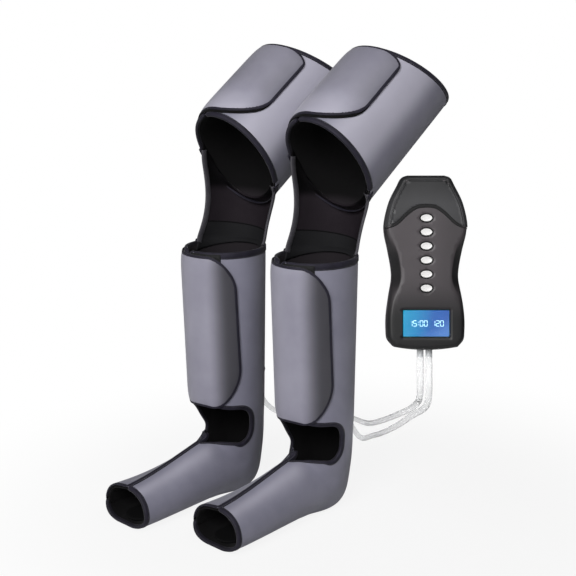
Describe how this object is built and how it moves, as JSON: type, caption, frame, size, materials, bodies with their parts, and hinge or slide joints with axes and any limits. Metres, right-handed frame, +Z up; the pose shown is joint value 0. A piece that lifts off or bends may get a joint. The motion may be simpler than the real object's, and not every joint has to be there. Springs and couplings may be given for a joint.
{
  "type": "compression therapy pump",
  "caption": "Air compression leg therapy set: two leg wraps with flaps and air chambers, a hand-held pump with keys and a screen, and two air hoses.",
  "frame": {"origin": "middle of the underside of the set's box, without the hoses and their elbows, on the floor", "axes": "+Z up, the toes point to -Y, +X is the wearer's left, where the handset is"},
  "size_m": [0.6156, 0.524, 0.7059],
  "materials": {
    "cover_fabric": "matte",
    "flap_fabric": "matte",
    "liner_fabric": "matte",
    "knee_fabric": "matte",
    "hook_tape": "matte",
    "bladder_film": "satin",
    "insole_foam": "matte",
    "port_plastic": "matte",
    "hose_silicone": "satin",
    "case_plastic": "satin",
    "hood_plastic": "gloss",
    "key_plastic": "satin",
    "keypad_rubber": "matte",
    "screen_glass": "gloss",
    "lcd_blue": "satin",
    "board_green": "satin",
    "pump_plastic": "matte",
    "steel": "satin",
    "mount_rubber": "matte"
  },
  "bodies": {
    "wraps": {"left_calf_cover": "cover_fabric", "left_calf_chambers": "bladder_film", "left_calf_liner": "liner_fabric", "left_calf_hook_patch": "hook_tape", "left_foot_cover": "cover_fabric", "left_foot_chamber": "bladder_film", "left_foot_liner": "liner_fabric", "left_insole": "insole_foam", "left_knee_panel": "knee_fabric", "right_calf_cover": "cover_fabric", "right_calf_chambers": "bladder_film", "right_calf_liner": "liner_fabric", "right_calf_hook_patch": "hook_tape", "right_foot_cover": "cover_fabric", "right_foot_chamber": "bladder_film", "right_foot_liner": "liner_fabric", "right_insole": "insole_foam", "right_knee_panel": "knee_fabric", "inlet_ports": "port_plastic"},
    "left_thigh": {"left_thigh_cover": "cover_fabric", "left_thigh_chambers": "bladder_film", "left_thigh_liner": "liner_fabric", "left_thigh_hook_patch": "hook_tape"},
    "left_thigh_flap": {"left_thigh_flap": "flap_fabric"},
    "left_calf_flap": {"left_calf_flap": "flap_fabric"},
    "left_foot_flap": {"left_foot_flap": "cover_fabric"},
    "right_thigh": {"right_thigh_cover": "cover_fabric", "right_thigh_chambers": "bladder_film", "right_thigh_liner": "liner_fabric", "right_thigh_hook_patch": "hook_tape"},
    "right_thigh_flap": {"right_thigh_flap": "flap_fabric"},
    "right_calf_flap": {"right_calf_flap": "flap_fabric"},
    "right_foot_flap": {"right_foot_flap": "cover_fabric"},
    "pump_set": {"front_cover": "case_plastic", "rear_cover": "case_plastic", "hood": "hood_plastic", "keypad_membrane": "keypad_rubber", "screen_window": "screen_glass", "lcd_panel": "lcd_blue", "circuit_board": "board_green", "air_pump": "pump_plastic", "pump_motor": "steel", "pump_mounts": "mount_rubber", "valve_block": "pump_plastic", "solenoid_valves": "steel", "inner_air_tubes": "hose_silicone", "outlet_nozzles": "pump_plastic", "case_screws": "steel", "rubber_feet": "mount_rubber", "dc_socket": "pump_plastic", "left_hose": "hose_silicone", "right_hose": "hose_silicone", "left_hose_elbow": "port_plastic", "right_hose_elbow": "port_plastic"},
    "key_1": {"key_1": "key_plastic"},
    "key_2": {"key_2": "key_plastic"},
    "key_3": {"key_3": "key_plastic"},
    "key_4": {"key_4": "key_plastic"},
    "key_5": {"key_5": "key_plastic"},
    "key_6": {"key_6": "key_plastic"}
  },
  "joints": [
    {"name": "left_knee", "type": "hinge", "parent": "wraps", "child": "left_thigh", "pos_m": [-0.08079, -0.00004, 0.46715], "axis": [1, 0, 0], "range_deg": [-25, 45], "deforming": ["left_knee_panel"]},
    {"name": "left_thigh_flap_open", "type": "hinge", "parent": "left_thigh", "child": "left_thigh_flap", "pos_m": [-0.14264, 0.06432, 0.63397], "axis": [0, -0.809, -0.5878], "range_deg": [0, 80]},
    {"name": "left_calf_flap_open", "type": "hinge", "parent": "wraps", "child": "left_calf_flap", "pos_m": [-0.13366, -0.03957, 0.275], "axis": [0.0232, 0.0134, -0.9996], "range_deg": [0, 95]},
    {"name": "left_foot_flap_open", "type": "hinge", "parent": "wraps", "child": "left_foot_flap", "pos_m": [-0.13019, -0.14329, 0.0284], "axis": [0, -1, 0], "range_deg": [0, 55]},
    {"name": "right_knee", "type": "hinge", "parent": "wraps", "child": "right_thigh", "pos_m": [-0.23479, -0.04254, 0.46715], "axis": [1, 0, 0], "range_deg": [-25, 45], "deforming": ["right_knee_panel"]},
    {"name": "right_thigh_flap_open", "type": "hinge", "parent": "right_thigh", "child": "right_thigh_flap", "pos_m": [-0.29664, 0.02182, 0.63397], "axis": [0, -0.809, -0.5878], "range_deg": [0, 80]},
    {"name": "right_calf_flap_open", "type": "hinge", "parent": "wraps", "child": "right_calf_flap", "pos_m": [-0.28766, -0.08207, 0.275], "axis": [0.0232, 0.0134, -0.9996], "range_deg": [0, 95]},
    {"name": "right_foot_flap_open", "type": "hinge", "parent": "wraps", "child": "right_foot_flap", "pos_m": [-0.28419, -0.18579, 0.0284], "axis": [0, -1, 0], "range_deg": [0, 55]},
    {"name": "hose_unplug", "type": "slide", "parent": "wraps", "child": "pump_set", "axis": [0, 1, 0], "range_m": [0, 0.02]},
    {"name": "key_1_press", "type": "slide", "parent": "pump_set", "child": "key_1", "axis": [-0.6764, 0.698, -0.2351], "range_m": [0, 0.0012], "stiffness_N_per_m": 700},
    {"name": "key_2_press", "type": "slide", "parent": "pump_set", "child": "key_2", "axis": [-0.6764, 0.698, -0.2351], "range_m": [0, 0.0012], "stiffness_N_per_m": 700},
    {"name": "key_3_press", "type": "slide", "parent": "pump_set", "child": "key_3", "axis": [-0.6764, 0.698, -0.2351], "range_m": [0, 0.0012], "stiffness_N_per_m": 700},
    {"name": "key_4_press", "type": "slide", "parent": "pump_set", "child": "key_4", "axis": [-0.6764, 0.698, -0.2351], "range_m": [0, 0.0012], "stiffness_N_per_m": 700},
    {"name": "key_5_press", "type": "slide", "parent": "pump_set", "child": "key_5", "axis": [-0.6764, 0.698, -0.2351], "range_m": [0, 0.0012], "stiffness_N_per_m": 700},
    {"name": "key_6_press", "type": "slide", "parent": "pump_set", "child": "key_6", "axis": [-0.6764, 0.698, -0.2351], "range_m": [0, 0.0012], "stiffness_N_per_m": 700}
  ]
}
